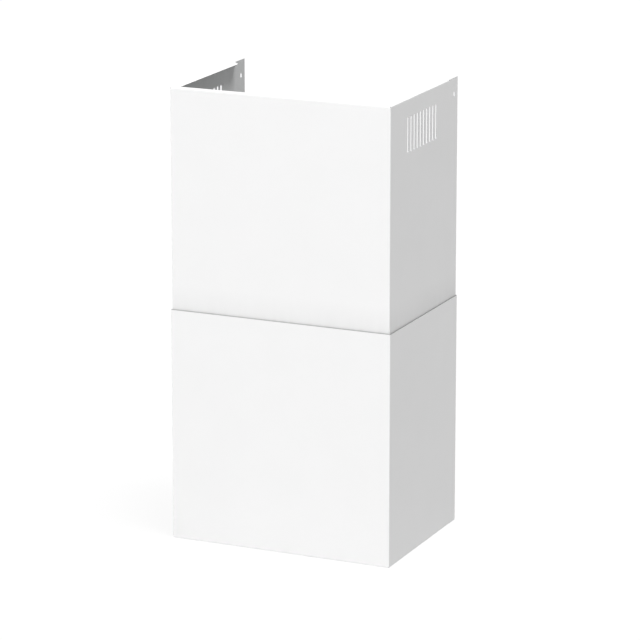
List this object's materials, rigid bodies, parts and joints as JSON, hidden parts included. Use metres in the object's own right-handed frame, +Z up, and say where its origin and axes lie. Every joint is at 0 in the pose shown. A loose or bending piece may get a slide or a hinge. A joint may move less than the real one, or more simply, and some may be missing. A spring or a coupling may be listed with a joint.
{
  "type": "telescopic cooker hood chimney section",
  "caption": "Telescopic cooker hood chimney: a U-shaped upper cover of white folded sheet, with vent slots in its sides, slides inside a C-shaped lower cover.",
  "frame": {"origin": "middle of the lower cover's outline, in the plane of its foot", "axes": "+Z up, along the slide; the front faces -Y and the open back faces +Y, towards the wall; +X is to the right seen from the front"},
  "size_m": [0.3028, 0.2188, 0.59],
  "materials": {
    "white_coated_steel": "smooth satin white coating"
  },
  "bodies": {
    "lower": {"lower_cover": "white_coated_steel"},
    "upper": {"upper_cover": "white_coated_steel"}
  },
  "joints": [
    {"name": "upper_slide", "type": "slide", "parent": "lower", "child": "upper", "axis": [0, 0, 1], "range_m": [-0.273, 0.0095]}
  ]
}
